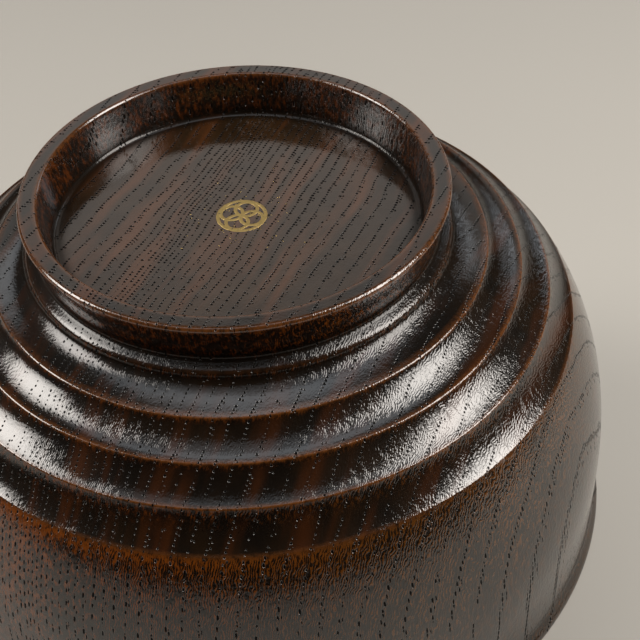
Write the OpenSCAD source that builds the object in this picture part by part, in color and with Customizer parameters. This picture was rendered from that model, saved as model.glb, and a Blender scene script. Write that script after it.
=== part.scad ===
// Lidded soup bowl, turned from two blocks of end-grain wood and lacquered.
// The closed set stands turned over, on the ring of its lid, with the foot of
// the bowl uppermost. Z is the turning axis and zero is the plane it stands on.

/* [Bowl] */
// Height of the bowl from its mouth to the face of its foot
bowl_h = 62.5; // [58:0.5:80]
// Widest diameter of the belly, outside
belly_d = 112.2; // [106:0.2:130]
// Distance of the belly line from the mouth
belly_rise = 12.5; // [9:0.5:18]
// Squareness of the outer belly curve
belly_power = 2.4; // [2:0.1:3]
// Thickness of the wall at the belly
wall_t = 3; // [2.8:0.1:4.5]
// Thickness of the wood between the hollow and the foot recess
bowl_floor_t = 5; // [3:0.5:7]
// Squareness of the hollow of the bowl
hollow_power = 2.8; // [2.4:0.1:3.2]

/* [Lip] */
// Distance that the lip stands out from the belly
lip_out = 1; // [0.8:0.1:2]
// Thickness of the rounded lip
lip_t = 2.6; // [2:0.1:3]
// Slope at which the neck runs into the lip, in degrees
lip_slope = 50; // [40:1:60]

/* [Foot] */
// Diameter over the face of the foot ring
foot_d = 62; // [54:0.5:66]
// Height of the foot ring above the land round it
foot_h = 7.1; // [4:0.1:9]
// Width of the flat face of the foot ring
foot_face = 2.9; // [2:0.1:4]
// Depth of the recess inside the foot ring
recess_depth = 6.7; // [4:0.1:9]
// Lean of the outer wall of both rings, in degrees
ring_lean = 15; // [4:0.5:18]
// Lean of the wall of both recesses, in degrees
recess_lean = 12; // [4:0.5:18]
// Radius of the rounded arrises of both rings
ring_arris = 0.55; // [0.3:0.05:0.8]
// Radius of the hollow where the walls of a ring meet the wood
ring_fillet = 0.8; // [0.4:0.1:1.2]

/* [Steps] */
// Width of the flat land between a ring and its first step
land_run = 1.4; // [1.2:0.1:2.4]
// Radius at which the land rolls over into its step
land_round = 1.2; // [0.6:0.1:1.6]
// Width of each turned step of the bowl, as a share of the room from land to belly
step_shares = [0.202, 0.202, 0.177, 0.153]; // [0.14:0.001:0.22]
// Fall of each of the four turned steps of the bowl
step_fall = [3.1, 3.1, 3.6, 4.9]; // [2:0.1:6]
// Radius of the crest of each step
crest_round = 0.35; // [0.2:0.05:0.5]

/* [Lid] */
// Height of the lid from its rim to the face of its ring
lid_h = 28; // [26:0.5:36]
// Distance that the rim of the lid sits inside the mouth
lid_sink = 4.5; // [3.5:0.1:6]
// Length of the tapered band that meets the inside of the bowl
seat_band = 2; // [1:0.1:2.4]
// Lean of the seat inside the mouth, in degrees
seat_lean = 10; // [8:0.5:14]
// Clearance between the lid and its seat
seat_gap = 0.25; // [0.15:0.05:0.5]
// Thickness of the rim of the lid
lid_rim_t = 2.8; // [2.4:0.1:3.6]
// Thickness of the wood between the hollow and the ring recess
lid_floor_t = 4.5; // [3:0.5:6]
// Squareness of the outer curve of the lid
dome_power = 2; // [1.8:0.1:2.4]
// Squareness of the hollow of the lid
lid_hollow_power = 2.2; // [2:0.1:2.6]

/* [Lid ring] */
// Diameter over the face of the lid ring
knob_d = 52; // [46:0.5:56]
// Height of the lid ring above the land round it
knob_h = 6; // [4:0.1:7]
// Width of the flat face of the lid ring
knob_face = 2.6; // [2:0.1:3.4]
// Depth of the recess inside the lid ring
knob_depth = 5.6; // [3:0.1:7]
// Width of each turned step of the lid, as a share of the room from land to rim
lid_step_shares = [0.18, 0.165]; // [0.14:0.005:0.22]
// Fall of each of the two turned steps of the lid
lid_step_fall = [1.9, 2.3]; // [1.2:0.1:3]

/* [Hidden] */
$fn = 96;

// Slopes are in degrees below the horizontal, walking outwards from the axis.
// A step leaves its crest steeply and reaches the next crest almost flat: the
// shares say how far between its mean slope and level or upright that is.
tread_share = [0.2, 0.25, 0.3, 0.55];
drop_share = 0.55;

// Straight pieces in a quarter of a curve, in a cove and in a rounded corner
curve_n = 32;
cove_n = 12;
round_n = 6;

foot_r = foot_d / 2;
knob_r = knob_d / 2;
belly_r = belly_d / 2;
lip_r = belly_r + lip_out;
bead_r = lip_t / 2;
mouth_z = lid_h - lid_sink;
foot_z = mouth_z + bowl_h;
rim_round = lid_rim_t / 2;

// Unit vectors along and square to a surface of the given slope
function along(slope) = [cos(slope), -sin(slope)];
function facing(slope) = [sin(slope), cos(slope)];

// Slope of the straight line from a to b
function slope_of(a, b) = atan2(a.y - b.y, b.x - a.x);

// Arc of radius r about c, on the side that faces each slope from s0 to s1
function sweep(c, r, s0, s1, n) =
    [for (i = [0:n]) c + r * facing(s0 + (s1 - s0) * i / n)];

// Rounded corner at p where the slope changes from s0 to s1
function corner(p, r, s0, s1) =
    let (turn = s1 - s0)
    let (out = r * sign(turn))
    sweep(p - abs(out) * tan(abs(turn) / 2) * along(s0) - out * facing(s0),
          out, s0, s1, round_n);

// Hollow curve from a to b that leaves at slope s0 and arrives at slope s1
function cove(a, b, s0, s1) =
    let (u = (a.y - b.y - (b.x - a.x) * tan(s1)) / (tan(s0) - tan(s1)))
    let (k = a + u * [1, -tan(s0)])
    [for (i = [1:cove_n - 1])
        let (t = i / cove_n)
        (1 - t) * (1 - t) * a + 2 * t * (1 - t) * k + t * t * b];

// Quarter of a rounded square about the axis, from a point to the widest one
function swell(top, wide, power) =
    let (t0 = acos(pow(top.x / wide.x, power / 2)))
    let (rise = (top.y - wide.y) / pow(sin(t0), 2 / power))
    [for (i = [0:curve_n])
        let (t = t0 * (1 - i / curve_n))
        [wide.x * pow(cos(t), 2 / power), wide.y + rise * pow(sin(t), 2 / power)]];

// Sum of the first k values of a list
function upto(list, k) = k == 0 ? 0 : list[k - 1] + upto(list, k - 1);

// Points counted from the end of a list to its start
function backwards(list) = [for (i = [1:len(list)]) list[len(list) - i]];

// Corner points of the turned steps, the first at the edge of the land
function step_points(land, run, fall) =
    [for (k = [0:len(run)]) land + [upto(run, k), -upto(fall, k)]];

// Recess, face and outer wall of a ring with its face at zero, from the axis
// outwards to the foot of the wall
function ring_outline(r, face, height, depth) =
    let (rise = recess_lean - 90)
    let (drop = ring_lean + 90)
    let (in_base = [r - face - depth * tan(recess_lean), -depth])
    let (out_base = [r - height * tan(ring_lean), -height])
    concat(
        [[0, -depth]],
        corner(in_base, ring_fillet, 0, rise),
        corner([r - face, 0], ring_arris, rise, 0),
        corner([r, 0], ring_arris, 0, drop),
        corner(out_base, ring_fillet, drop, 0));

// Land and turned steps outside a ring, then the curve that swells from the
// last crest to the widest point. The steps share the room that lies between.
function body_outline(r, height, shares, fall, wide, power) =
    let (land = [r - height * tan(ring_lean) + ring_fillet + land_run, -height])
    let (p = step_points(land, (wide.x - land.x) * shares, fall))
    let (last = len(shares))
    let (mean = [for (k = [1:last]) slope_of(p[k - 1], p[k])])
    let (into = [for (k = [0:last]) k == 0 ? 0 : mean[k - 1] * tread_share[k - 1]])
    let (tail = swell(p[last], wide, power))
    let (out = [for (k = [0:last]) k == last ? slope_of(tail[0], tail[1])
        : mean[k] + (90 - mean[k]) * drop_share])
    let (crest = [for (k = [0:last])
        corner(p[k], k == 0 ? land_round : crest_round, into[k], out[k])])
    concat(
        [for (k = [0:last]) each concat(
            crest[k],
            k < last ? cove(crest[k][round_n], crest[k + 1][0], out[k], into[k + 1]) : [])],
        [for (i = [1:curve_n]) tail[i]]);

// Neck that flares out of the belly, and the bead round the mouth
function lip_outline() =
    let (neck_r = lip_out / (1 - sin(lip_slope)) - bead_r)
    let (bead = [lip_r - bead_r, mouth_z + bead_r])
    let (neck = bead + (bead_r + neck_r) * facing(lip_slope))
    concat(
        sweep(neck, -neck_r, 90, lip_slope, round_n),
        sweep(bead, bead_r, lip_slope, 270 - seat_lean, 3 * round_n));

// Inside radius of the bowl on the tapered seat, at a height z
function seat_r(z) =
    lip_r - bead_r - bead_r / cos(seat_lean) - (z - mouth_z - bead_r) * tan(seat_lean);

// Height at which the seat has narrowed to the inside of the belly
function seat_top() =
    let (wall_r = belly_r - wall_t)
    mouth_z + bead_r + (seat_r(mouth_z + bead_r) - wall_r) / tan(seat_lean);

// Section of the bowl on one side of the axis
function bowl_section() =
    let (belly = [belly_r, belly_rise - bowl_h])
    let (outer = concat(
        ring_outline(foot_r, foot_face, foot_h, recess_depth),
        body_outline(foot_r, foot_h, step_shares, step_fall, belly, belly_power)))
    let (hollow = swell(
        [0, foot_z - recess_depth - bowl_floor_t],
        [belly_r - wall_t, seat_top()], hollow_power))
    concat([for (p = outer) p + [0, foot_z]], lip_outline(), backwards(hollow));

// Section of the lid, right way up with the face of its ring at zero
function lid_section() =
    let (shoulder = rim_round + seat_band - lid_h)
    let (wide = [seat_r(-shoulder) - seat_gap / cos(seat_lean), shoulder])
    let (edge = [wide.x - (seat_band + rim_round) * tan(seat_lean), -lid_h])
    let (inside = edge.x - lid_rim_t)
    let (hollow = swell(
        [0, -knob_depth - lid_floor_t], [inside, rim_round - lid_h], lid_hollow_power))
    concat(
        ring_outline(knob_r, knob_face, knob_h, knob_depth),
        body_outline(knob_r, knob_h, lid_step_shares, lid_step_fall, wide, dome_power),
        corner(edge, rim_round / 2, 90 + seat_lean, 180),
        corner([inside, -lid_h], rim_round / 2, 180, 270),
        backwards(hollow));

module bowl() {
    color("#4a2a17")
        rotate_extrude()
            polygon(bowl_section());
}

module lid() {
    color("#54301a")
        mirror([0, 0, 1])
            rotate_extrude()
                polygon(lid_section());
}

bowl();
lid();
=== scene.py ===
import bpy
import numpy as np
from mathutils import Matrix, Quaternion, Vector


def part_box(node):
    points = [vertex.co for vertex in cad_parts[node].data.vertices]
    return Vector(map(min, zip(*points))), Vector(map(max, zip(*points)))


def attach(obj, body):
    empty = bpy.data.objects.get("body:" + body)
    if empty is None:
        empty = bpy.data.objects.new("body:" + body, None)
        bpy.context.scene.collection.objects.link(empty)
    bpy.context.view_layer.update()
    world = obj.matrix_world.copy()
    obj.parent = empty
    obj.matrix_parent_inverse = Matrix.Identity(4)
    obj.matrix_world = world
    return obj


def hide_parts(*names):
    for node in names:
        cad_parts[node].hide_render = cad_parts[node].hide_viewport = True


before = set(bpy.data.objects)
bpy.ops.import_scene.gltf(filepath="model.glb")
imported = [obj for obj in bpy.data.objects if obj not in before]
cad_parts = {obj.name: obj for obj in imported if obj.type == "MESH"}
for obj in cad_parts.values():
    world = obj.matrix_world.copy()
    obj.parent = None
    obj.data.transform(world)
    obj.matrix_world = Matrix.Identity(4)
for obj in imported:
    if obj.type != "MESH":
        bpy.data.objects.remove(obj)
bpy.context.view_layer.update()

# %% [markdown]
# # A lidded soup bowl, turned over
# The object is a deep wooden bowl, turned on a lathe from end grain and covered with a
# transparent dark lacquer. It stands upside down on the ring of its lid, so the foot of
# the bowl is on top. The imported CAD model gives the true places: this script keeps its
# box, and works its driving heights out from it, so that both always agree. Lengths are in
# millimetres here, and MM turns them into Blender's metres.

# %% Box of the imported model
MM = 0.001
bowl_low, bowl_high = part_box("bowl")
lid_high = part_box("lid")[1]
FOOT_Z = bowl_high.z / MM
MOUTH_Z = bowl_low.z / MM
LIP_R = bowl_high.x / MM
LID_H = lid_high.z / MM
print(f"bowl from {MOUTH_Z:.1f} to {FOOT_Z:.1f} mm, lip radius {LIP_R:.1f} mm, lid {LID_H:.1f} mm high")

# %% [markdown]
# ## Camera
# The picture was taken with a long lens from close by, looking down at the foot and aimed
# a little to the right of its middle. A camera could be moved by eye until the bowl fits.
# Here its place, in metres, and its turn come from fitting the circles of the foot and of
# the steps, which give the lens as well. Yaw turns the view to the right, pitch tips it
# down, and roll leans it. A camera looks along its own -Z, so its axes are right, up and
# backwards.

# %% Camera at the photograph's viewing angle
PICTURE = 640
FOCAL_PIXELS = 1300
SENSOR = 36
NEAREST = 0.01
CAMERA_PLACE = Vector((0, -0.1495, 0.1970))
YAW, PITCH, ROLL = np.radians((4.27, 42.96, -2.95))


def add_to_scene(name, data):
    """Makes an object of a lens, a lamp or a mesh, and links it to the scene."""
    thing = bpy.data.objects.new(name, data)
    bpy.context.scene.collection.objects.link(thing)
    return thing


ahead = Vector((np.sin(YAW) * np.cos(PITCH), np.cos(YAW) * np.cos(PITCH), -np.sin(PITCH)))
level_right = Vector((np.cos(YAW), -np.sin(YAW), 0))
level_up = level_right.cross(ahead)
right = np.cos(ROLL) * level_right + np.sin(ROLL) * level_up
up = np.cos(ROLL) * level_up - np.sin(ROLL) * level_right
lens = bpy.data.cameras.new("camera")
lens.sensor_width = SENSOR
lens.lens = SENSOR * FOCAL_PIXELS / PICTURE
lens.clip_start = NEAREST
camera = add_to_scene("camera", lens)
camera_turn = Matrix((right, up, -ahead)).transposed().to_4x4()
camera.matrix_world = Matrix.Translation(CAMERA_PLACE) @ camera_turn
bpy.context.scene.camera = camera
print(f"camera {CAMERA_PLACE.length / MM:.0f} mm from the origin with a {lens.lens:.0f} mm lens")

# %% [markdown]
# ## Shader nodes
# Lamps and finishes here are small networks of nodes. They could be drawn by hand in the
# shader editor, or written out link by link. A recipe keeps them short: each of its methods
# adds a node and gives back the socket of its result, so that a network reads like a sum.

# %% Adding shader nodes
class Recipe:
    """The nodes of one lamp or material. A value in a call may be a number or a socket."""

    def __init__(self, owner):
        owner.use_nodes = True
        self.owner = owner
        self.tree = owner.node_tree

    def fill(self, node, inputs):
        """Writes each value into the input it is named for, or links it if it is a socket."""
        for name, value in inputs.items():
            if isinstance(value, bpy.types.NodeSocket):
                self.tree.links.new(value, node.inputs[name])
            else:
                node.inputs[name].default_value = value
        return node

    def feed(self, name, inputs):
        """Fills a node that is there from the start."""
        self.fill(self.tree.nodes[name], inputs)

    def put(self, kind, inputs=None, **settings):
        """Adds one node, sets it up and fills it."""
        node = self.tree.nodes.new(kind)
        for name, value in settings.items():
            setattr(node, name, value)
        return self.fill(node, inputs or {})

    def calc(self, operation, *values, **settings):
        """Arithmetic on numbers."""
        node = self.put("ShaderNodeMath", dict(enumerate(values)), operation=operation, **settings)
        return node.outputs[0]

    def times(self, first, *others):
        """Product of all values."""
        for value in others:
            first = self.calc("MULTIPLY", first, value)
        return first

    def split(self, vector):
        """The three numbers of a vector."""
        return self.put("ShaderNodeSeparateXYZ", {"Vector": vector}).outputs


print("nodes can be added")

# %% [markdown]
# ## Lights
# Glossy lacquer shows its lights more than its colour. A picture of a studio could be
# wrapped round the scene, but single lamps can be moved until each reflection lies where it
# does on the real bowl. A tall warm softbox on each side makes the bright bands across the
# steps. Two dim sheets overhead make the grey of the nearly level treads, a warm panel
# behind lights the recess floor, and two narrow strips draw soft lines at the back. Each
# lamp is given by its direction (azimuth 0 is straight behind the bowl, 90 is to the right),
# its distance and size in metres, and the brightness of the middle of its face. Blender asks
# for watts instead, and the brightness of a face is its watts over its area and over pi. A
# real softbox is brightest in the middle, so every face fades towards its edges.

# %% Softboxes, sheets, panel and strips
AIM = Vector((0, 0, 0.08))
FADE_POWER = 3
WARM, COOL = (1.0, 0.945, 0.885), (0.88, 0.94, 1.0)
# Name, azimuth, elevation, distance, width, height, lean, brightness and tint.
LAMPS = (
    ("left_softbox", -82, 35, 0.52, 0.26, 0.44, 22, 12.5, WARM),
    ("right_softbox", 103, 38, 0.52, 0.30, 0.55, -14, 13.2, WARM),
    ("sheet_above", 0, 89, 0.8, 1.2, 0.68, 0, 0.52, COOL),
    ("sheet_edge", 0, 80, 0.8, 1.2, 0.26, 0, 0.98, COOL),
    ("panel_behind", 0, 33, 0.9, 1.2, 0.54, 0, 0.66, WARM),
    ("left_strip", -36, 22, 0.8, 0.12, 0.62, 0, 1.0, COOL),
    ("right_strip", 42, 20, 0.8, 0.14, 0.62, 0, 1.7, COOL),
)


def towards(azimuth, elevation):
    """Unit vector: the azimuth turns from +Y to +X, and the elevation rises from the table."""
    a, e = np.radians(azimuth), np.radians(elevation)
    return Vector((np.sin(a) * np.cos(e), np.cos(a) * np.cos(e), np.sin(e)))


def fade_to_edges(light):
    """Brightness times one minus the cube of the way from the middle to each edge."""
    r = Recipe(light)
    place = r.split(r.put("ShaderNodeNewGeometry").outputs["Parametric"])
    fades = []
    for side in ("X", "Y"):
        way = r.calc("ABSOLUTE", r.calc("MULTIPLY_ADD", place[side], 2.0, -1.0))
        fades.append(r.calc("SUBTRACT", 1.0, r.calc("POWER", way, FADE_POWER), use_clamp=True))
    r.feed("Emission", {"Strength": r.times(*fades)})


def lamp(name, azimuth, elevation, distance, wide, tall, lean, brightness, tint):
    """Rectangle of light that faces the bowl. Its long side is upright, then leans by an angle."""
    light = bpy.data.lights.new(name, "AREA")
    light.shape = "RECTANGLE"
    light.size, light.size_y = wide, tall
    light.energy = brightness * wide * tall * np.pi
    light.color = tint
    fade_to_edges(light)
    box = add_to_scene(name, light)
    out = towards(azimuth, elevation)
    turn = (-out).to_track_quat("-Z", "Y") @ Quaternion((0, 0, 1), np.radians(lean))
    box.matrix_world = Matrix.Translation(AIM + out * distance) @ turn.to_matrix().to_4x4()
    return box


lamps = [lamp(*row) for row in LAMPS]
print(f"{len(lamps)} lamps")

# %% [markdown]
# ## Room
# A bright sky would light the bowl from all sides and turn the lacquer grey. The dark side
# of the room is what keeps the steep sides of the steps black, so the world is a dim grey.

# %% World
ROOM_GREY = (0.012, 0.012, 0.013)
world = bpy.data.worlds.new("room")
world.use_nodes = True
world.node_tree.nodes["Background"].inputs["Color"].default_value = (*ROOM_GREY, 1)
bpy.context.scene.world = world
bpy.context.scene.view_settings.view_transform = "Standard"
print("world brightness", ROOM_GREY)

# %% [markdown]
# ## A lathe
# Everything here is round, as the real bowl is, because it was cut while it turned. The
# Screw modifier turns a line too. Here one function stands for the lathe, because it keeps
# track of the line: numbers that belong to it, such as how worn an edge is, are written to
# the mesh as attributes, and the finish reads them. It takes points (radius, height) that
# start and end on the axis, and makes a closed skin. The faces of a row run outwards and
# then round, so that they look away from the wood.

# %% Turning a line into a closed skin
def turn_on_lathe(name, line, around, marks=None):
    """Point i, j is the i-th point of the line turned by the j-th angle: x and y are its
    radius times the cosine and the sine, and z is its height. The two ends are poles."""
    angle = np.linspace(0, 2 * np.pi, around, endpoint=False)
    r, z = line[1:-1, 0], line[1:-1, 1]
    rows = np.stack([np.outer(r, np.cos(angle)), np.outer(r, np.sin(angle)),
                     np.repeat(z[:, None], around, axis=1)], axis=-1).reshape(-1, 3)
    poles = np.array([[0, 0, line[0, 1]], [0, 0, line[-1, 1]]])
    points = np.vstack([rows, poles]) * MM
    here = np.arange(around)
    beside = np.roll(here, -1)
    start = np.arange(len(r) - 1)[:, None] * around
    quads = np.stack([start + here, start + around + here,
                      start + around + beside, start + beside], axis=-1).reshape(-1, 4)
    first_pole, last_pole, last_row = len(rows), len(rows) + 1, (len(r) - 1) * around
    caps = np.vstack([
        np.stack([np.full(around, first_pole), here, beside], axis=-1),
        np.stack([last_row + here, np.full(around, last_pole), last_row + beside], axis=-1)])
    mesh = bpy.data.meshes.new(name)
    mesh.from_pydata(points.tolist(), [], quads.tolist() + caps.tolist())
    mesh.shade_smooth()
    for mark, values in (marks or {}).items():
        spread = np.concatenate([np.repeat(values[1:-1], around), values[[0, -1]]])
        written = mesh.attributes.new(mark, "FLOAT", "POINT")
        written.data.foreach_set("value", spread.astype(np.float32))
    print(f"{name}: {len(points)} points, {2 * len(quads) + len(caps)} triangles")
    return add_to_scene(name, mesh)


# %% [markdown]
# ## Finishes
# A finish here is arithmetic on the coordinates of its piece. Pictures of wood and paper
# could be wrapped round the pieces instead, but they would show seams and stretch at the
# poles. Object coordinates stay with a piece when it moves. The colour sockets of a Mix node
# share their names with others, so they go by number.

# %% Steps of a finish
MIX_A, MIX_B, MIX_RESULT = 6, 7, 2


class Finish(Recipe):
    """The nodes of one new material."""

    def __init__(self, name):
        super().__init__(bpy.data.materials.new(name))

    def total(self, *terms):
        """Sum of terms. Each is a pair: a value and its weight."""
        result = 0.0
        for value, weight in terms:
            result = self.calc("MULTIPLY_ADD", value, weight, result)
        return result

    def fade(self, share, start, end):
        """The start where the share is 0, the end where it is 1, and straight in between."""
        return self.calc("MULTIPLY_ADD", share, end - start, start)

    def between(self, value, low, high):
        """0 below low, 1 above high, and a smooth rise in between."""
        node = self.put("ShaderNodeMapRange", {"Value": value, "From Min": low, "From Max": high},
                        interpolation_type="SMOOTHSTEP")
        return node.outputs["Result"]

    def blend(self, share, a, b):
        """Colour a where the share is 0 and colour b where it is 1."""
        a, b = ((*colour, 1) if isinstance(colour, tuple) else colour for colour in (a, b))
        node = self.put("ShaderNodeMix", {"Factor": share, MIX_A: a, MIX_B: b}, data_type="RGBA")
        return node.outputs[MIX_RESULT]

    def place(self):
        """Coordinates of the piece itself, in metres."""
        return self.put("ShaderNodeTexCoord").outputs["Object"]

    def place_in_mm(self, offset=(0, 0, 0), turn=0):
        """Coordinates in millimetres, turned about Z by degrees and then moved."""
        return self.put("ShaderNodeMapping", {
            "Vector": self.place(), "Location": offset, "Rotation": (0, 0, np.radians(turn)),
            "Scale": (1 / MM,) * 3}).outputs[0]

    def stretch(self, vector, x, y, z):
        """Coordinates scaled on each axis, so that a pattern is drawn out on the smallest."""
        return self.put("ShaderNodeMapping", {"Vector": vector, "Scale": (x, y, z)}).outputs[0]

    def cloud(self, vector, density, detail=2.0, rough=0.5):
        """Soft noise from 0 to 1. The density is its blobs to one unit of the coordinates."""
        node = self.put("ShaderNodeTexNoise",
                        {"Vector": vector, "Scale": density, "Detail": detail, "Roughness": rough})
        return node.outputs[0]

    def join(self, x, y, z):
        """A vector of three numbers."""
        return self.put("ShaderNodeCombineXYZ", {"X": x, "Y": y, "Z": z}).outputs[0]

    def lots(self, x, y, z):
        """Three random numbers from 0 to 1 for each whole x, y and z."""
        noise = self.put("ShaderNodeTexWhiteNoise", {"Vector": self.join(x, y, z)})
        return self.split(noise.outputs["Color"])

    def mark(self, name):
        """A number that the profile wrote to the mesh."""
        return self.put("ShaderNodeAttribute", attribute_name=name).outputs["Fac"]

    def bump(self, height, distance):
        """Normals of a relief in which a height of 1 stands for the distance, in metres."""
        return self.put("ShaderNodeBump", {"Height": height, "Distance": distance}).outputs[0]


print("steps of a finish are ready")

# %% [markdown]
# ## Floor
# The floor is the first thing off the lathe. A plain sheet would end at a horizon. This is a
# flat disc whose rim sweeps up in a quarter circle, so that the bowl has the same quiet
# background from every side. It isn't part of the bowl. It is pale paper with faint clouds.
# The lamps light its middle. Further out it glows by itself, but only as the camera sees it.

# %% Pale floor that curves up
FLOOR_R, SWEEP_R, WALL_TOP, UNDER = 3000, 700, 1000, -20
SWEEP_POINTS, FLOOR_AROUND = 19, 96
PALE, CLOUD_SHADE, CLOUDS_PER_M = (0.42, 0.403, 0.37), 0.95, 9.0
PALE_ROUGH, PALE_SHINE = 0.8, 0.2
GLOW_FROM_M, GLOW_FULL_M, GLOW_PALE = 0.30, 0.85, (0.475, 0.43, 0.375)


def pale_paper():
    """Colour from a cloud. The glow grows with the distance from the middle."""
    r = Finish("pale_floor")
    tint = r.blend(r.cloud(r.place(), CLOUDS_PER_M), PALE, tuple(c * CLOUD_SHADE for c in PALE))
    far = r.put("ShaderNodeVectorMath", {0: r.place()}, operation="LENGTH").outputs["Value"]
    glow = r.put("ShaderNodeMapRange", {"Value": far, "From Min": GLOW_FROM_M,
                                        "From Max": GLOW_FULL_M}).outputs["Result"]
    seen = r.put("ShaderNodeLightPath").outputs["Is Camera Ray"]
    r.feed("Principled BSDF", {
        "Base Color": tint, "Roughness": PALE_ROUGH, "Specular IOR Level": PALE_SHINE,
        "Emission Color": (*GLOW_PALE, 1), "Emission Strength": r.times(glow, seen)})
    return r.owner


sweep = np.radians(np.linspace(0, 90, SWEEP_POINTS))
floor_line = np.vstack([
    [[0, 0]],
    np.stack([FLOOR_R + SWEEP_R * np.sin(sweep), SWEEP_R * (1 - np.cos(sweep))], axis=1),
    [[FLOOR_R + SWEEP_R, WALL_TOP], [FLOOR_R + SWEEP_R - UNDER, WALL_TOP],
     [FLOOR_R + SWEEP_R - UNDER, UNDER], [0, UNDER]]])
floor = turn_on_lathe("floor", floor_line, FLOOR_AROUND)
floor.data.materials.append(pale_paper())

# %% [markdown]
# ## Lines of the profile
# A turner thinks of a profile as a few moves: a flat, a rounded corner, a cove between two
# crests, a swelling curve. It could be one curve drawn by hand, but moves with slopes and
# radii are closer to how the bowl was cut, and each keeps its size when another changes.
# Slopes are in degrees below the horizontal, walking outwards from the axis, so 0 is level
# and 90 is an upright wall.

# %% Straights and rounded corners
FULL_TURN_POINTS, LEAST_ARC_POINTS = 45, 4
STRAIGHT_STEP = 0.4


def tan(slope):
    """Tangent of a slope in degrees."""
    return np.tan(np.radians(slope))


def along(slope):
    """Unit vector (radius, height) that walks down a slope."""
    return np.array([np.cos(np.radians(slope)), -np.sin(np.radians(slope))])


def facing(slope):
    """Unit vector that stands square on a slope and points out of the wood."""
    return np.array([np.sin(np.radians(slope)), np.cos(np.radians(slope))])


def slope_between(a, b):
    """Slope of the straight line from a to b."""
    return np.degrees(np.arctan2(a[1] - b[1], b[0] - a[0]))


def straight(a, b):
    """Points on the line from a to b, without its ends, so that a mark can fade on a flat."""
    count = int(np.hypot(*(b - a)) / STRAIGHT_STEP) + 1
    return a + (b - a) * np.linspace(0, 1, count + 1)[1:-1, None]


def joined(moves):
    """One line of several moves, with a straight between the end of each and the next."""
    line = [moves[0]]
    for move in moves[1:]:
        line += [straight(line[-1][-1], move[0]), move]
    return np.vstack(line)


def sweep_round(centre, radius, first, last):
    """Arc: the centre plus the radius times the facing of each slope from first to last."""
    count = max(LEAST_ARC_POINTS, int(abs(last - first) / 360 * FULL_TURN_POINTS))
    s = np.radians(np.linspace(first, last, count + 1))
    return centre + radius * np.stack([np.sin(s), np.cos(s)], axis=1)


def rounded_corner(corner, radius, first, last):
    """Arc that touches both straight lines through the corner, convex or hollow."""
    side = radius * np.sign(last - first)
    centre = corner - radius * tan(abs(last - first) / 2) * along(first) - side * facing(first)
    return sweep_round(centre, side, first, last)


print("one full turn has", FULL_TURN_POINTS, "points")

# %% [markdown]
# ### Coves and swells
# Between two crests the tool leaves a hollow, and below the steps a long swelling curve.
# Arcs would do for both. But the bright bands on the lacquer show how each hollow bends, and
# a cubic curve can follow that with one number, while a rounded square gives the fullness of
# the belly with another.

# %% Coves and swells
COVE_POINTS, COVE_CROWDING = 16, 1.5
SWELL_POINTS, HOLLOW_POINTS = 36, 26


def cove(a, b, leave, arrive, pull):
    """Hollow from a to b: a cubic curve. Its corner is where the two end slopes meet, and its
    handles go from each end towards the corner by the share of pull, so that a strong pull
    makes straight ends and a tight bend. The points crowd towards a, where the edge is worn."""
    down, out = tan(leave), tan(arrive)
    reach = (a[1] - b[1] - (b[0] - a[0]) * out) / (down - out)
    corner = a + reach * np.array([1, -down])
    first, second = a + pull * (corner - a), b + pull * (corner - b)
    t = np.linspace(0, 1, COVE_POINTS + 1)[1:-1, None] ** COVE_CROWDING
    return ((1 - t) ** 3 * a + 3 * t * (1 - t) ** 2 * first
            + 3 * t * t * (1 - t) * second + t ** 3 * b)


def swell(top, widest, power, count=SWELL_POINTS):
    """Quarter of a rounded square: radius is the widest one times cos t to the 2/power, and
    the rise over the widest point goes with sin t to the 2/power."""
    t0 = np.arccos((top[0] / widest[0]) ** (power / 2))
    rise = (top[1] - widest[1]) / np.sin(t0) ** (2 / power)
    t = t0 * (1 - np.arange(count + 1) / count)
    return np.stack([widest[0] * np.maximum(np.cos(t), 0) ** (2 / power),
                     widest[1] + rise * np.sin(t) ** (2 / power)], axis=1)


print("a cove has", COVE_POINTS, "parts and a swell has", SWELL_POINTS)

# %% [markdown]
# ## Foot ring
# The bowl and its lid share a foot: a ring with a flat face, a shallow recess inside it and
# a narrow land round it. A ring could be a piece of its own, but the real one is cut from
# the block, so it is part of the line. On a level land the ring would hide every lamp, so
# the land slopes, and for that it starts a lift higher on the wall of the ring.

# %% Recess and ring
RING_LEAN, RECESS_LEAN = 15, 12
RING_ARRIS, RING_FILLET = 0.55, 0.8
RECESS_FLOOR_POINTS, RECESS_FLOOR_MARGIN = 5, 3 * RING_FILLET
LAND_SLOPE, LAND_LIFT = 25, 0.45


def recess_radius(radius, face, depth):
    """Radius of the recess floor inside a ring."""
    return radius - face - depth * tan(RECESS_LEAN)


def ring_line(radius, face, height, depth):
    """Recess floor, recess wall, face and outer wall of a ring whose face is at zero."""
    recess_edge = np.array([recess_radius(radius, face, depth), -depth])
    wall_h = height - LAND_LIFT
    wall_foot = np.array([radius - wall_h * tan(RING_LEAN), -wall_h])
    rise, drop = RECESS_LEAN - 90, RING_LEAN + 90
    floor_radii = np.linspace(0, recess_edge[0] - RECESS_FLOOR_MARGIN, RECESS_FLOOR_POINTS)[:, None]
    return joined([
        np.hstack([floor_radii, np.full_like(floor_radii, -depth)]),
        rounded_corner(recess_edge, RING_FILLET, 0, rise),
        rounded_corner(np.array([radius - face, 0]), RING_ARRIS, rise, 0),
        rounded_corner(np.array([radius, 0]), RING_ARRIS, 0, drop),
        rounded_corner(wall_foot, RING_FILLET, drop, LAND_SLOPE)])


print("the wall of a ring leans", RING_LEAN, "degrees")

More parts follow.
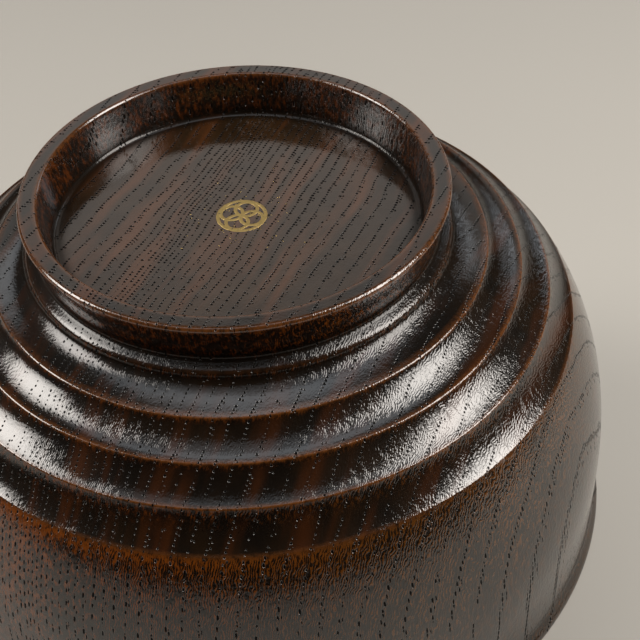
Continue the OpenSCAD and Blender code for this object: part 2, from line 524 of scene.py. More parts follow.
# %% [markdown]
# ## Steps
# Each step drops steeply from its crest and runs out almost level to the next crest. The
# steps could be traced point by point, but their slopes are what the reflections show, so
# slopes are the values here. A drop share says how far from its mean slope to upright a step
# starts, a tread share says what part of its mean slope is left at its end, and its pull
# says how tight the bend between them is. The widths share the room from land to belly. The
# outer edge of the sloping land is shifted in and down from where a level one would end.

# %% Land and steps
LAND_RUN, LAND_ROUND, CREST_ROUND = 1.4, 1.0, 0.35
LAND_SHIFT = (-0.3, -0.38)
TREAD_SHARES = (0.41, 0.21, 0.38, 0.61)
DROP_SHARES = (0.74, 0.52, 0.44, 0.46)
PULLS = (0.785, 0.595, 0.535, 0.555)


def land_edge(radius, height):
    """Where a level land rolls over into the first step, as in the CAD model."""
    return np.array([radius - height * tan(RING_LEAN) + RING_FILLET + LAND_RUN, -height])


def shoulder_line(radius, height, shares, falls, widest, power):
    """Land, then the steps from crest to crest, then the swell to the widest point."""
    land = land_edge(radius, height)
    runs = (widest[0] - land[0]) * np.array(shares)
    way = np.cumsum(np.stack([runs, -np.array(falls)], axis=1), axis=0)
    crests = land + np.vstack([[0, 0], way])
    crests[0] += LAND_SHIFT
    last = len(runs)
    mean = [slope_between(crests[k], crests[k + 1]) for k in range(last)]
    tail = swell(crests[last], widest, power)
    into = [LAND_SLOPE] + [mean[k] * TREAD_SHARES[k] for k in range(last)]
    leave = [m + (90 - m) * share for m, share in zip(mean, DROP_SHARES)]
    leave.append(slope_between(tail[0], tail[1]))
    rounds = [rounded_corner(crests[k], CREST_ROUND if k else LAND_ROUND, into[k], leave[k])
              for k in range(last + 1)]
    line = [rounds[0]]
    for k in range(last):
        hollow = cove(rounds[k][-1], rounds[k + 1][0], leave[k], into[k + 1], PULLS[k])
        line += [hollow, rounds[k + 1]]
    return np.vstack(line + [tail[1:]])


print("the steps leave their crests at", DROP_SHARES, "of the way to upright")

# %% [markdown]
# ## Bowl
# Below the steps the belly swells out, stands almost upright and pulls in a little to a
# neck, and a small round bead makes the lip. A Solidify modifier could give the wall. The
# inside has its own line instead, because the floor is thicker than the wall, and a tapered
# seat in the mouth takes the lid.

# %% Line of the bowl
FOOT_R, FOOT_FACE, FOOT_H, RECESS_DEPTH = 31, 2.9, 7.1, 6.7
FOOT = (FOOT_R, FOOT_FACE, FOOT_H, RECESS_DEPTH)
STEP_SHARES, STEP_FALLS = (0.202, 0.202, 0.177, 0.153), (3.1, 3.1, 3.6, 4.9)
BELLY_RISE, BELLY_POWER = 12.5, 2.4
WALL, BOWL_FLOOR, HOLLOW_POWER = 3, 5, 2.8
LIP_OUT, LIP_SLOPE, BEAD_R = 1, 50, 1.3
SEAT_LEAN, SEAT_BAND, SEAT_GAP = 10, 2, 0.25
BELLY_R = LIP_R - LIP_OUT


def seat_radius(z):
    """Inside radius of the tapered seat at a height: a straight line that leans."""
    mouth_r = LIP_R - BEAD_R - BEAD_R / np.cos(np.radians(SEAT_LEAN))
    return mouth_r - (z - MOUTH_Z - BEAD_R) * tan(SEAT_LEAN)


def bowl_line():
    """Outside from the recess floor down to the lip, then the hollow back to the axis."""
    belly = np.array([BELLY_R, MOUTH_Z + BELLY_RISE - FOOT_Z])
    outside = joined([
        ring_line(*FOOT),
        shoulder_line(FOOT_R, FOOT_H, STEP_SHARES, STEP_FALLS, belly, BELLY_POWER)])
    bead = np.array([LIP_R - BEAD_R, MOUTH_Z + BEAD_R])
    neck_r = LIP_OUT / (1 - np.sin(np.radians(LIP_SLOPE))) - BEAD_R
    neck = bead + (BEAD_R + neck_r) * facing(LIP_SLOPE)
    wall_r = BELLY_R - WALL
    seat_top = MOUTH_Z + BEAD_R + (seat_radius(MOUTH_Z + BEAD_R) - wall_r) / tan(SEAT_LEAN)
    hollow = swell(np.array([0, FOOT_Z - RECESS_DEPTH - BOWL_FLOOR]), np.array([wall_r, seat_top]),
                   HOLLOW_POWER, HOLLOW_POINTS)
    return np.vstack([
        outside + [0, FOOT_Z],
        sweep_round(neck, -neck_r, 90, LIP_SLOPE),
        sweep_round(bead, BEAD_R, LIP_SLOPE, 270 - SEAT_LEAN),
        hollow[::-1]])


print("the line of the bowl has", len(bowl_line()), "points")

# %% [markdown]
# ## Lid
# The lid is a second turned block: a shallow dome with its own ring, two steps, a tapered
# rim that sits inside the mouth, and a hollow. It could be a smaller copy of the bowl, but a
# real lid is flatter and has fewer steps. Its line is drawn the right way up and then
# flipped, because the set stands on it.

# %% Line of the lid
KNOB_R, KNOB_FACE, KNOB_H, KNOB_DEPTH = 26, 2.6, 6, 5.6
KNOB = (KNOB_R, KNOB_FACE, KNOB_H, KNOB_DEPTH)
LID_SHARES, LID_FALLS = (0.18, 0.165), (1.9, 2.3)
LID_RIM, LID_FLOOR, DOME_POWER, LID_HOLLOW_POWER = 2.8, 4.5, 2, 2.2


def lid_line():
    """Ring, steps, dome, rounded rim and hollow, then turned over so that the ring rests."""
    rim_round = LID_RIM / 2
    shoulder = rim_round + SEAT_BAND - LID_H
    widest_r = seat_radius(-shoulder) - SEAT_GAP / np.cos(np.radians(SEAT_LEAN))
    widest = np.array([widest_r, shoulder])
    edge = np.array([widest_r - (SEAT_BAND + rim_round) * tan(SEAT_LEAN), -LID_H])
    inner = np.array([edge[0] - LID_RIM, -LID_H])
    hollow = swell(np.array([0, -KNOB_DEPTH - LID_FLOOR]), inner + [0, rim_round],
                   LID_HOLLOW_POWER, HOLLOW_POINTS)
    upright = joined([
        ring_line(*KNOB),
        shoulder_line(KNOB_R, KNOB_H, LID_SHARES, LID_FALLS, widest, DOME_POWER),
        rounded_corner(edge, rim_round / 2, 90 + SEAT_LEAN, 180),
        rounded_corner(inner, rim_round / 2, 180, 270),
        hollow[::-1]])
    return (upright * [1, -1])[::-1]


print("the line of the lid has", len(lid_line()), "points")

# %% [markdown]
# ## Wear and pooling
# Lacquer is thin and worn on every sharp edge, where the orange of the wood comes through,
# and it pools dark in the hollows. Both follow the bend of the profile. Pointiness in a
# shader finds bends too, but it depends on how fine the mesh is, so the line is measured
# instead: the bend is the change of slope over the distance walked, and a bell curve spreads
# it along the line. Seven marks come out, each from 0 to 1:
# - wear: convex bend, less the gentle bend that a swelling curve has anyway
# - halo: the same, spread wider, for the thinner lacquer round a worn edge
# - pool: hollow bend
# - side_grain: none on a level face, where the fibres end, and all on an upright wall
# - thin: on the recess floor and on the belly, which are browner than ring and steps
# - brow: right under the last crest, where the belly glows most, and fading below it
# - recess: everything inside the ring, where the stain darkens the orange as painted shade

# %% Marks along a line
GENTLE_BEND = 0.8
WEAR_REACH, WEAR_BEND = 0.14, 1.5
HALO_REACH, HALO_BEND = 0.75, 0.95
POOL_REACH, POOL_BEND = 0.8, 0.45
THIN_FADE, BROW_FADE = 0.3, 1.2


def marks_of(line, floor_radius, ring_radius, crest_radius):
    """The seven marks of each point. Bends are in radians for each millimetre. Thin is 1
    inside the floor's radius and past the last crest's, and recess is 1 inside the ring's."""
    step = np.diff(line, axis=0)
    length = np.hypot(*step.T)
    slope = np.unwrap(np.arctan2(-step[:, 1], step[:, 0]))
    walked = np.concatenate([[0], np.cumsum(length)])
    turned = np.concatenate([[0], np.diff(slope), [0]])
    round_about = np.concatenate([[0], (length[1:] + length[:-1]) / 2, [0]])
    point_slope = np.concatenate([[slope[0]], (slope[1:] + slope[:-1]) / 2, [slope[-1]]])

    def spread(amount, reach, full):
        bell = np.exp(-0.5 * ((walked[:, None] - walked) / reach) ** 2)
        return np.clip(bell @ amount / (reach * np.sqrt(2 * np.pi)) / full, 0, 1)

    sharp = np.maximum(turned - GENTLE_BEND * round_about, 0)
    reached = np.maximum.accumulate(line[:, 0])
    past_crest = reached - crest_radius
    return {
        "wear": spread(sharp, WEAR_REACH, WEAR_BEND),
        "halo": spread(sharp, HALO_REACH, HALO_BEND),
        "pool": spread(np.maximum(-turned, 0), POOL_REACH, POOL_BEND),
        "side_grain": np.sin(point_slope) ** 2,
        "thin": (np.clip((floor_radius - reached) / THIN_FADE, 0, 1)
                 + np.clip(past_crest / THIN_FADE, 0, 1)),
        "brow": np.where(past_crest > 0, np.exp(-np.maximum(past_crest, 0) / BROW_FADE), 0.0),
        "recess": (reached < ring_radius).astype(float)}


print("wear reaches", WEAR_REACH, "mm along the line")

# %% [markdown]
# ## Bowl and lid
# Both lines go on the lathe with their marks. The lid could be left plain, as it hardly shows
# until it is lifted, but it is the same ware and gets the same care. Its line is measured the
# right way up, so that the marks mean the same on both.

# %% Bowl and lid off the lathe
AROUND = 340
SAME_PLACE = 1e-4


def without_doubles(line):
    """Drops points that repeat the one before them, where two moves of the tool meet."""
    apart = np.hypot(*np.diff(line, axis=0).T) > SAME_PLACE
    return line[np.concatenate([[True], apart])]


def block_marks(line, widest, ring, shares):
    """Marks of a block. Its recess and its last crest are found from the sizes of its ring."""
    radius, face, height, depth = ring
    land = land_edge(radius, height)[0]
    last_crest = land + (widest - land) * sum(shares)
    return marks_of(line, recess_radius(radius, face, depth), radius - face / 2, last_crest)


bowl_points, lid_points = without_doubles(bowl_line()), without_doubles(lid_line())
upright_lid = lid_points[::-1] * [1, -1]
bowl_marks = block_marks(bowl_points, BELLY_R, FOOT, STEP_SHARES)
lid_marks = block_marks(upright_lid, upright_lid[:, 0].max(), KNOB, LID_SHARES)
bowl = turn_on_lathe("turned_bowl", bowl_points, AROUND, bowl_marks)
lid = turn_on_lathe("turned_lid", lid_points, AROUND, {m: v[::-1] for m, v in lid_marks.items()})
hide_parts("bowl")
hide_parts("lid")
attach(bowl, "bowl")
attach(lid, "lid")

# %% [markdown]
# ## Lacquered wood
# The block was cut with its fibres upright, so every face is a slice through the same
# pattern in plan, drawn out along Z. One finish for the flats and another for the walls
# would meet at a seam, but one solid wood serves everywhere: it shows growth rings and rows
# of round pores on the level faces, and upright streaks on the walls. The pattern is worked
# out in millimetres in a plan turned so that one axis, u, crosses the growth rings and the
# other, v, runs along them. The finish has four layers: rings with their rows of pores, fine
# wavy bands, the stain, and a clear coat with relief.
#
# ### Growth rings
# Rings are stripes across the grain. A Wave texture draws even stripes, but these have to
# crowd and to carry their pores, so they are the fraction of a phase that grows across the
# plan. Two clouds bend it, a slow one for the drift of the rings and a quick one for their
# small waves, and soft steps (tanh) crowd the rings where the tree grew poorly.

# %% Growth rings
RING_TURN = 30
RING_WIDTH = 2.4
CROWDED = ((2.6, -5.5, 3.2), (3.2, 4.0, 10.0))


def ring_phase(r, across):
    """Number of rings crossed: steady growth plus a soft step for each crowded place, with
    the rings it adds, where it lies and how far it reaches. The slope is rings per mm."""
    phase, slope = r.calc("DIVIDE", across, RING_WIDTH), 1 / RING_WIDTH
    for rings, place, reach in CROWDED:
        step = r.calc("TANH", r.calc("MULTIPLY_ADD", across, 1 / reach, -place / reach))
        phase = r.calc("MULTIPLY_ADD", step, rings, phase)
        slope = r.calc("ADD", slope, r.fade(r.times(step, step), rings / reach, 0.0))
    return phase, slope


print("rings up to", RING_WIDTH, "mm apart")

# %% [markdown]
# ### Pores
# Each ring starts with a row of large vessels, and where the surface cuts one there is a
# round pit. A Voronoi texture scatters dots, but not in rows. So a row is divided into
# cells: one ring across, one pitch along and one vessel deep. White noise gives every cell
# its own lots, which move its pit, set its size and leave some cells empty. Towards the ends
# of a vessel its pit narrows, so on a wall it is a dash. A second, sparser row runs beside
# the main one, except where the rings crowd.

# %% Rows of pores
PORE_PITCH, PORE_LENGTH, PORE_TAPER = 0.55, 1.2, 6.0
PORE_R, LEAST_SIZE, SIZE_RANGE = 0.15, 0.8, 0.4
PORE_SCATTER, PORE_SWAY, ROW_RANGE = 0.12, 0.03, 0.4
MAIN_ROW, SIDE_ROW = (0.0, 1.0, 0.97), (0.36, 0.8, 0.25)


def pore_row(r, phase, slope, v, z, aside, size, kept):
    """Depth inside a pore: its radius minus the distance to its middle in the plan, in mm. It
    is positive inside, and an empty cell takes one millimetre off it. The row lies aside
    from the ring's line in mm, scales its pores by size and keeps a share of its cells."""
    ring = r.calc("FLOOR", phase)
    ring_lot = r.lots(ring, aside, 0.0)
    count = r.calc("ADD", r.calc("DIVIDE", v, PORE_PITCH), ring_lot[0])
    cell = r.calc("FLOOR", count)
    cell_lot = r.lots(ring, cell, aside)
    layers = r.calc("ADD", r.calc("DIVIDE", z, PORE_LENGTH), cell_lot[0])
    layer = r.calc("FLOOR", layers)
    lot = r.lots(r.calc("ADD", ring, aside), cell, layer)

    past = r.calc("MULTIPLY_ADD", lot[0], PORE_SCATTER, r.calc("SUBTRACT", count, cell))
    past = r.times(r.calc("SUBTRACT", past, (1 + PORE_SCATTER) / 2), PORE_PITCH)
    over = r.calc("DIVIDE", r.calc("SUBTRACT", r.calc("SUBTRACT", phase, ring), 0.5), slope)
    over = r.calc("SUBTRACT", over, aside + PORE_SWAY / 2)
    over = r.calc("MULTIPLY_ADD", lot[1], PORE_SWAY, over)
    far = r.calc("SQRT", r.calc("MULTIPLY_ADD", past, past, r.times(over, over)))

    deep = r.calc("SUBTRACT", layers, layer)
    taper = r.calc("MINIMUM", 1.0, r.times(deep, r.fade(deep, PORE_TAPER, 0.0)))
    widest = r.calc("MULTIPLY_ADD", lot[2], PORE_R * size * SIZE_RANGE, PORE_R * size * LEAST_SIZE)
    rich = r.calc("MULTIPLY_ADD", ring_lot[1], ROW_RANGE, kept - ROW_RANGE / 2)
    empty = r.calc("GREATER_THAN", cell_lot[1], rich)
    return r.calc("SUBTRACT", r.calc("SUBTRACT", r.times(widest, taper), far), empty)


print("a pore every", PORE_PITCH, "mm")

# %% [markdown]
# ### The plan of the wood
# Straight rings would look sawn from a drawing, so clouds bend the plan before the rings are
# laid in it. They are drawn out along the fibre, because a tree changes slowly upwards.
# Broad streaks run along the rings and down the fibres: they are a cloud in the bent plan.

# %% The plan of the wood
DRIFT, DRIFT_PER_MM, WAVE, WAVE_PER_MM = 3.0, 0.06, 0.4, 0.3
ALONG_FIBRE = 0.15
CROWDED_FROM = 0.8
STREAKS_ACROSS, STREAKS_ALONG = 0.30, 0.03


def wood_field(r, offset):
    """Bent plan coordinates in millimetres, ring lines, streaks and pores of a block."""
    plan = r.place_in_mm(offset, RING_TURN)
    u, v, z = r.split(plan)
    fibre = r.stretch(plan, 1, 1, ALONG_FIBRE)
    drift = r.calc("MULTIPLY_ADD", r.cloud(fibre, DRIFT_PER_MM, detail=1.0), DRIFT, u)
    across = r.calc("MULTIPLY_ADD", r.cloud(fibre, WAVE_PER_MM), WAVE, drift)
    phase, slope = ring_phase(r, across)
    middle = r.calc("ABSOLUTE", r.calc("MULTIPLY_ADD", r.calc("FRACT", phase), 2.0, -1.0))
    main, beside = (pore_row(r, phase, slope, v, z, *row) for row in (MAIN_ROW, SIDE_ROW))
    beside = r.calc("SUBTRACT", beside, r.calc("GREATER_THAN", slope, CROWDED_FROM))
    streaks = r.cloud(r.join(r.times(across, STREAKS_ACROSS), r.times(v, STREAKS_ALONG),
                             r.times(z, STREAKS_ALONG)), 1.0)
    return {"plan": plan, "fibre": fibre, "u": u, "across": across,
            "ring_line": r.calc("SUBTRACT", 1.0, middle), "streaks": streaks,
            "inside_pore": r.calc("MAXIMUM", main, beside)}


print(f"streaks are drawn out {STREAKS_ACROSS / STREAKS_ALONG:.0f} times")

# %% [markdown]
# ### Fine bands
# Between the rings, this wood has its small pores in short wavy bands, which look like a
# fingerprint under the lacquer. Noise alone gives blobs and no bands. So they are a sine
# across the same bent plan, which keeps them in step with the rings. A cloud bends it into
# zigzags and a second cloud breaks it into patches, more of them to one side.

# %% Wavy bands between the rings
BAND_WIDTH = 0.31
ZIGZAG, ZIGZAG_PER_MM, ZIGZAG_ALONG = 1.2, 0.95, 0.45
PATCH_PER_MM, PATCH_EDGE, ONE_SIDE = 0.10, (0.36, 0.72), 0.013


def fine_bands(r, wood):
    """Bands from 0 to 1, and the patches where they are strong."""
    zigzag = r.cloud(r.stretch(wood["plan"], 1, 1, ZIGZAG_ALONG), ZIGZAG_PER_MM)
    bent = r.calc("MULTIPLY_ADD", zigzag, ZIGZAG, wood["across"])
    wave = r.calc("SINE", r.times(bent, 2 * np.pi / BAND_WIDTH))
    leaning = r.total((wood["u"], ONE_SIDE), (r.cloud(wood["fibre"], PATCH_PER_MM), 1.0))
    return r.calc("MULTIPLY_ADD", wave, 0.5, 0.5), r.between(leaning, *PATCH_EDGE)


print("bands", BAND_WIDTH, "mm apart")

# %% [markdown]
# ### What the finish follows
# Stain, relief and coat could each have noise of their own, but on real lacquer they go
# together. So they follow the same numbers: the pattern of the wood, the marks of the
# profile, a slow and a quick cloud, and how much a face slopes. On slopes the lacquer runs
# into the pores and makes them smaller, and a halo shows only on the steep side of an edge.
# The wood is redder on the left and more golden on the right, where the halos are fainter
# too. A pore is seen twice: as a black dot and, a little wider, as a pit. A pair of numbers
# here is a start and an end: where a rise begins and is full, or what a value is at 0 and 1.

# %% What the finish follows
MARKS = ("wear", "halo", "pool", "side_grain", "thin", "brow", "recess")
MOTTLE_PER_MM = 0.16
FLECK_PER_MM, FLECK_ALONG, FLECK_DETAIL, FLECK_ROUGH = 1.9, 0.4, 3.0, 0.6
SLOPING, HALO_SLOPES, UPRIGHT = (0.015, 0.16), (0.15, 0.5), (0.8, 1.0)
RED_TO_GOLD, HALO_BY_GOLD = (5, 42), (1.0, 0.5)
FILLING_BY_THIN, WIDER_BY_FILLING = (1.0, 0.4), (0.008, -0.044)
DOT_EDGE, PIT_EDGE = (-0.025, 0.025), (-0.05, 0.025)


def finish_fields(r, offset):
    """The pattern, the marks and what comes from them, all by name."""
    w = wood_field(r, offset)
    w["bands"], w["patches"] = fine_bands(r, w)
    w |= {name: r.mark(name) for name in MARKS}
    w["mottle"] = r.cloud(w["fibre"], MOTTLE_PER_MM)
    w["fleck"] = r.cloud(r.stretch(w["plan"], 1, 1, FLECK_ALONG), FLECK_PER_MM,
                         FLECK_DETAIL, FLECK_ROUGH)
    w["sloping"] = r.between(w["side_grain"], *SLOPING)
    w["upright"] = r.between(w["side_grain"], *UPRIGHT)
    w["to_gold"] = r.between(w["u"], *RED_TO_GOLD)
    w["halo"] = r.times(w["halo"], r.between(w["side_grain"], *HALO_SLOPES),
                        r.fade(w["to_gold"], *HALO_BY_GOLD))
    filling = r.times(w["sloping"], r.fade(w["thin"], *FILLING_BY_THIN))
    inside = r.calc("ADD", w["inside_pore"], r.fade(filling, *WIDER_BY_FILLING))
    w["dot"], w["pit"] = r.between(inside, *DOT_EDGE), r.between(inside, *PIT_EDGE)
    return w


print("marks read:", ", ".join(MARKS))

# %% [markdown]
# ### Stain
# One colour ramp over noise would look the same everywhere, and this wood doesn't. On end
# grain the lacquer soaks in and goes nearly black, clouded with brown and streaked with red.
# On side grain it stays on top and the wood glows orange through it in flecks. The glow is
# a sum: mostly the quick cloud, then the slow one, the fine bands, and a little more on
# walls, on plain thin parts, under the last crest and in a halo. Where it is high the
# orange shows, except inside the recess, where the orange is pulled towards dark as painted
# shade. Hollows and ring lines are darker, worn edges lighter, and pores black.
# Colours are shares of red, green and blue light; where there are two, the first is for
# thick lacquer and the second for thin.

# %% Stain
END_DARK = (0.0036, 0.0019, 0.0006), (0.014, 0.0068, 0.0022)
END_BROWN = (0.010, 0.0044, 0.0010), (0.022, 0.0105, 0.0036)
END_RED = (0.050, 0.0125, 0.0012), (0.062, 0.020, 0.0050)
SIDE_DARK = (0.0028, 0.0012, 0.0004), (0.0030, 0.0014, 0.0005)
SIDE_RED = (0.15, 0.034, 0.0013), (0.13, 0.031, 0.0014)
SIDE_GOLD = (0.105, 0.032, 0.0018), (0.075, 0.025, 0.0015)
BROW_RED, BROW_GOLD = (0.24, 0.056, 0.0020), (0.10, 0.032, 0.0018)
WORN, PORE_BLACK = (0.11, 0.035, 0.006), (0.001, 0.001, 0.001)
BROWN_CLOUD, RED_STREAKS, STREAK_SHARE = (0.35, 0.65), (0.46, 0.74), 0.85
BAND_BY_THIN, BAND_BY_PATCH = (0.16, 0.40), (0.2, 1.0)
BAND_BY_UPRIGHT, BAND_BY_BROW, BAND_MIDDLE = (1.0, 0.7), (1.0, 0.5), 0.55
FLECK_GLOW, MOTTLE_GLOW, WALL_GLOW, PLAIN_GLOW = 0.82, 0.18, 0.06, 0.06
BROW_GLOW, HALO_GLOW, ORANGE_GLOW = 0.16, 0.16, (0.49, 0.72)
RECESS_PAINTED_SHADE, HALO_SIDE, THIN_SIDE, SIDE_EDGE = 0.6, 0.25, 0.08, (0.6, 0.95)
LINE_EDGE, LINE_SHADE, POOL_SHADE, WORN_FLECKS = (0.72, 0.98), 0.3, 0.8, (0.2, 0.6)


def end_stain(r, w):
    """Dark, then brown by the slow cloud, then red by the streaks."""
    dark, brown, red = (r.blend(w["thin"], *pair) for pair in (END_DARK, END_BROWN, END_RED))
    stain = r.blend(r.between(w["mottle"], *BROWN_CLOUD), dark, brown)
    return r.blend(r.times(r.between(w["streaks"], *RED_STREAKS), STREAK_SHARE), stain, red)


def side_stain(r, w):
    """Orange where the glow is high, and dark elsewhere. Inside the recess the orange is darkened:
    painted shade.
    """
    band_weight = r.times(r.fade(w["thin"], *BAND_BY_THIN), r.fade(w["patches"], *BAND_BY_PATCH),
                          r.fade(w["upright"], *BAND_BY_UPRIGHT), r.fade(w["brow"], *BAND_BY_BROW))
    plain = r.times(w["thin"], r.calc("SUBTRACT", 1.0, w["patches"]))
    glow = r.total(
        (w["fleck"], FLECK_GLOW), (w["mottle"], MOTTLE_GLOW), (plain, PLAIN_GLOW),
        (w["upright"], r.fade(w["thin"], WALL_GLOW, 0.0)), (w["brow"], BROW_GLOW),
        (w["halo"], HALO_GLOW), (r.calc("SUBTRACT", w["bands"], BAND_MIDDLE), band_weight))
    orange = r.blend(w["to_gold"], r.blend(w["thin"], *SIDE_RED), r.blend(w["thin"], *SIDE_GOLD))
    orange = r.blend(w["brow"], orange, r.blend(w["to_gold"], BROW_RED, BROW_GOLD))
    # painted shade: inside the recess the orange is pulled towards dark
    orange = r.blend(r.times(w["recess"], RECESS_PAINTED_SHADE), orange, SIDE_DARK[0])
    return r.blend(r.between(glow, *ORANGE_GLOW), r.blend(w["thin"], *SIDE_DARK), orange)


def whole_stain(r, w):
    """End and side stain, then ring lines, pooling, wear and pores over them."""
    side_share = r.total((w["side_grain"], 1.0), (w["halo"], HALO_SIDE), (w["thin"], THIN_SIDE))
    stain = r.blend(r.between(side_share, *SIDE_EDGE), end_stain(r, w), side_stain(r, w))
    lines = r.times(r.between(w["ring_line"], *LINE_EDGE), LINE_SHADE)
    stain = r.blend(lines, stain, END_DARK[0])
    stain = r.blend(r.times(w["pool"], POOL_SHADE), stain, END_DARK[0])
    stain = r.blend(r.times(w["wear"], r.between(w["fleck"], *WORN_FLECKS)), stain, WORN)
    return r.blend(w["dot"], stain, PORE_BLACK)


print("brightest orange", BROW_RED)

# %% [markdown]
# ### Relief and clear coat
# The relief is a few hundredths of a millimetre: pits at the pores, ripples along the
# bands, a leathery grain and a slow wave from the brush. In the mesh it would take millions
# of faces, so it is bump, and only what shows in outline is geometry. The relief is stronger
# on slopes than on level faces, where the lacquer flowed out. It moves the highlights of the
# clear coat, as it does on the real bowl. The coat is missing in the pores and weaker in the
# hollows.

# %% Relief, clear coat and the whole finish
RELIEF = 0.045 * MM
BAND_RELIEF, PORE_RELIEF = (0.02, 0.32), (-0.7, -1.2)
LEATHER_PER_MM, LEATHER_ALONG = 2.7, 0.6
LEATHER_RELIEF, LEATHER_RIPPLED = (0.25, 0.47), 0.25
BRUSH_PER_MM, BRUSH_RELIEF = 0.3, 0.8
ROUGH_BY_FLECK, COAT_BY_DOT, COAT_BY_POOL = (0.4, 0.6), (1.0, 0.05), (1.0, 0.34)
WOOD_SHINE, COAT_ROUGH, COAT_IOR = 0.05, 0.08, 1.75
BOWL_WOOD, LID_WOOD = (0, 0, 0), (37, 21, 9)


def relief(r, w):
    """Sum of bands, leather, brush and pits, each times its own height."""
    leather = r.cloud(r.stretch(w["plan"], 1, 1, LEATHER_ALONG), LEATHER_PER_MM)
    brush = r.cloud(w["plan"], BRUSH_PER_MM, detail=1.0)
    ripple = r.times(w["patches"], w["sloping"])
    leather_height = r.total((r.fade(w["sloping"], *LEATHER_RELIEF), 1.0), (ripple, LEATHER_RIPPLED))
    return r.total((w["bands"], r.fade(ripple, *BAND_RELIEF)), (leather, leather_height),
                   (brush, BRUSH_RELIEF), (w["pit"], r.fade(w["sloping"], *PORE_RELIEF)))


def lacquered_wood(name, offset):
    """The finish of one block. The offset says from where in the tree it was cut."""
    r = Finish(name)
    w = finish_fields(r, offset)
    bump = r.bump(relief(r, w), RELIEF)
    coat = r.times(r.fade(w["dot"], *COAT_BY_DOT), r.fade(w["pool"], *COAT_BY_POOL))
    r.feed("Principled BSDF", {
        "Base Color": whole_stain(r, w), "Roughness": r.fade(w["fleck"], *ROUGH_BY_FLECK),
        "Specular IOR Level": WOOD_SHINE, "Normal": bump, "Coat Normal": bump,
        "Coat Weight": coat, "Coat Roughness": COAT_ROUGH, "Coat IOR": COAT_IOR})
    return r.owner


bowl.data.materials.append(lacquered_wood("bowl_lacquer", BOWL_WOOD))
lid.data.materials.append(lacquered_wood("lid_lacquer", LID_WOOD))
print("nodes in the lacquer:", len(bowl.data.materials[0].node_tree.nodes))

# %% [markdown]
# ## Gold motif
# A plain geometric motif in gold lies on the recess floor: four circles that meet in the
# middle, inside a fifth. It could be painted in the finish, but gold on lacquer is sprinkled
# powder that stands a few hundredths of a millimetre proud. So each circle is a flat ribbon
# with a rounded top: a torus whose section is a very low half ellipse, closed underneath.

# %% A ribbon of gold
RIBBON, RIBBON_H, RIBBON_UNDER = 0.54, 0.05, 0.0125
RING_COUNT, SECTION_COUNT = 96, 12


def gold_ribbon(centre, radius):
    """Point i, j: turn i round the circle and j round the section. The section is RIBBON wide,
    its upper half rises to RIBBON_H, and its lower half stays flat in the floor."""
    i, j = np.meshgrid(np.arange(RING_COUNT), np.arange(SECTION_COUNT), indexing="ij")
    a, b = 2 * np.pi * i / RING_COUNT, 2 * np.pi * j / SECTION_COUNT
    reach = radius + RIBBON / 2 * np.cos(b)
    rise = np.where(np.sin(b) > 0, RIBBON_H, RIBBON_UNDER) * np.sin(b)
    points = np.stack([centre[0] + reach * np.cos(a), centre[1] + reach * np.sin(a), rise], axis=-1)
    row, next_row = i * SECTION_COUNT, (i + 1) % RING_COUNT * SECTION_COUNT
    beside = (j + 1) % SECTION_COUNT
    faces = np.stack([row + j, next_row + j, next_row + beside, row + beside], axis=-1)
    return points.reshape(-1, 3), faces.reshape(-1, 4)


print("a ribbon has", RING_COUNT * SECTION_COUNT, "points")

# %% [markdown]
# ### Stray grains
# Some powder always falls beside the drawing. The grains could be dots in the finish, but
# raised ones glint as the real ones do. Each is a low pyramid, closed underneath.

# %% Specks of gold
SPECKS, SPECK_R, SPECK_H, SPECK_SPREAD, SPECK_SIDES = 90, (0.06, 0.14), 0.02, 4.2, 6
SPECK_SEED = 11


def gold_specks():
    """Low pyramids. Corner j of speck i lies at its place plus its radius at j sixths of a
    turn, the last point is its tip, and the places thin out like a bell curve."""
    rng = np.random.default_rng(SPECK_SEED)
    places = rng.normal(0, SPECK_SPREAD, (SPECKS, 1, 2))
    radii = rng.uniform(*SPECK_R, (SPECKS, 1, 1))
    turns = 2 * np.pi * np.arange(SPECK_SIDES) / SPECK_SIDES
    corners = places + radii * np.stack([np.cos(turns), np.sin(turns)], axis=-1)
    points = np.concatenate([
        np.concatenate([corners, np.zeros((SPECKS, SPECK_SIDES, 1))], axis=2),
        np.concatenate([places, np.full((SPECKS, 1, 1), SPECK_H)], axis=2)], axis=1)
    first = np.arange(SPECKS)[:, None, None] * (SPECK_SIDES + 1)
    j = np.arange(SPECK_SIDES)
    sides = first + np.stack([j, (j + 1) % SPECK_SIDES, np.full(SPECK_SIDES, SPECK_SIDES)], axis=-1)
    return points.reshape(-1, 3), sides.reshape(-1, 3).tolist() + (first[:, 0] + j[::-1]).tolist()


print(SPECKS, "specks of gold")

# %% [markdown]
# ### The whole motif
# Ribbons and grains are one piece, because they are one layer of gold on the real bowl and
# would never move apart. Their points are stacked, and each part's faces are renumbered.

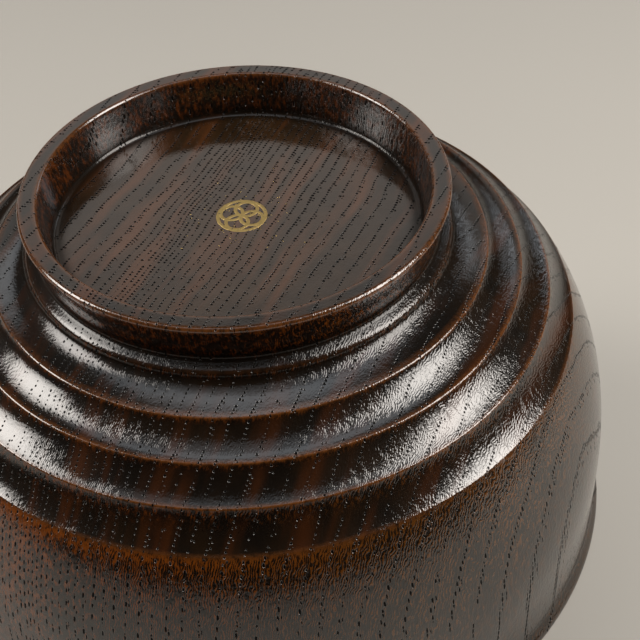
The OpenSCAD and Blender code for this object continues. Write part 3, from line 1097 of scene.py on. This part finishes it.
# %% Motif on the recess floor
MOTIF_PLACE, MOTIF_TURN = (0.55, 0.45), -29
MOTIF_R, INNER_CIRCLES = 3.5, 4
inner_r = (MOTIF_R - RIBBON / 2) / 2
turns = np.radians(MOTIF_TURN) + np.arange(INNER_CIRCLES) * 2 * np.pi / INNER_CIRCLES
ribbons = [gold_ribbon((0, 0), MOTIF_R)]
ribbons += [gold_ribbon((inner_r * np.cos(t), inner_r * np.sin(t)), inner_r) for t in turns]
ribbon_points = np.vstack([points for points, faces in ribbons])
ribbon_faces = np.vstack([faces + k * RING_COUNT * SECTION_COUNT
                          for k, (points, faces) in enumerate(ribbons)])
speck_points, speck_faces = gold_specks()
motif_points = np.vstack([ribbon_points, speck_points]) + [*MOTIF_PLACE, FOOT_Z - RECESS_DEPTH]
motif_faces = ribbon_faces.tolist() + [[len(ribbon_points) + k for k in face] for face in speck_faces]
motif_mesh = bpy.data.meshes.new("gold_motif")
motif_mesh.from_pydata((motif_points * MM).tolist(), [], motif_faces)
motif_mesh.shade_smooth()
motif = add_to_scene("gold_motif", motif_mesh)
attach(motif, "bowl")
print(f"gold motif {2 * MOTIF_R + RIBBON:.1f} mm across")

# %% [markdown]
# ### Powdered gold
# Powdered gold is a metal with a grainy, half matt face, and it is worn off in spots, where
# the dark lacquer shows. A smooth metal would look like foil. So a fine cloud roughens it
# and makes it dull in places, and where a second cloud is low it turns into plain brown.

# %% Powdered gold
GOLD, GOLD_DULL, GOLD_LOST = (0.70, 0.52, 0.21), (0.36, 0.25, 0.09), (0.03, 0.018, 0.01)
POWDER_PER_MM, POWDER_ROUGH, SPOTS_PER_MM, SPOTS_ROUGH, GOLD_DETAIL = 6.0, 0.7, 1.3, 0.6, 3.0
SPOTS_EDGE, GOLD_ROUGH, POWDER_RELIEF = (0.30, 0.42), (0.3, 0.6), 0.03 * MM


def powdered_gold():
    """Colour, roughness and bump follow the powder, and the metal share follows the spots."""
    r = Finish("powdered_gold")
    place = r.place_in_mm()
    powder = r.cloud(place, POWDER_PER_MM, GOLD_DETAIL, POWDER_ROUGH)
    kept = r.between(r.cloud(place, SPOTS_PER_MM, GOLD_DETAIL, SPOTS_ROUGH), *SPOTS_EDGE)
    r.feed("Principled BSDF", {
        "Base Color": r.blend(kept, GOLD_LOST, r.blend(powder, GOLD_DULL, GOLD)),
        "Metallic": kept, "Roughness": r.fade(powder, *GOLD_ROUGH),
        "Normal": r.bump(powder, POWDER_RELIEF)})
    return r.owner


motif_mesh.materials.append(powdered_gold())
print("gold ready")
